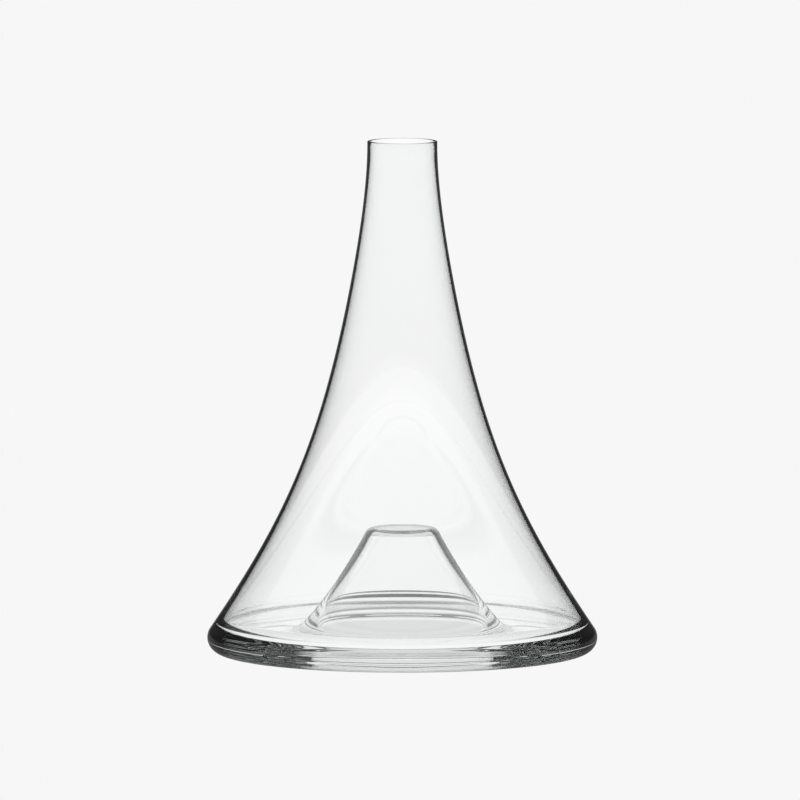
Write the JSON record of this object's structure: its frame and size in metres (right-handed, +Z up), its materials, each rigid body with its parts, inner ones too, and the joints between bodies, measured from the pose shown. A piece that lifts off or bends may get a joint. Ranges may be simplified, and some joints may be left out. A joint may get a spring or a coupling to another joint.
{
  "type": "wine decanter",
  "caption": "Clear glass wine decanter: a slim straight-cut mouth flares in one concave sweep to a broad rounded heel, with a tall punt pushed up inside the base.",
  "frame": {"origin": "centre of the flat ring that the decanter stands on, in the plane of the table", "axes": "+Z up the axis of revolution, out of the mouth; the vessel is round, so +X and +Y are any two level directions"},
  "size_m": [0.21, 0.21, 0.276],
  "materials": {
    "clear_glass": "clear colourless blown glass, fire polished, with a cut lip"
  },
  "bodies": {
    "root": {"rim": "clear_glass", "neck": "clear_glass", "shoulder": "clear_glass", "bowl_wall": "clear_glass", "heel": "clear_glass", "base_floor": "clear_glass", "punt_wall": "clear_glass", "punt_crown": "clear_glass"}
  },
  "joints": []
}
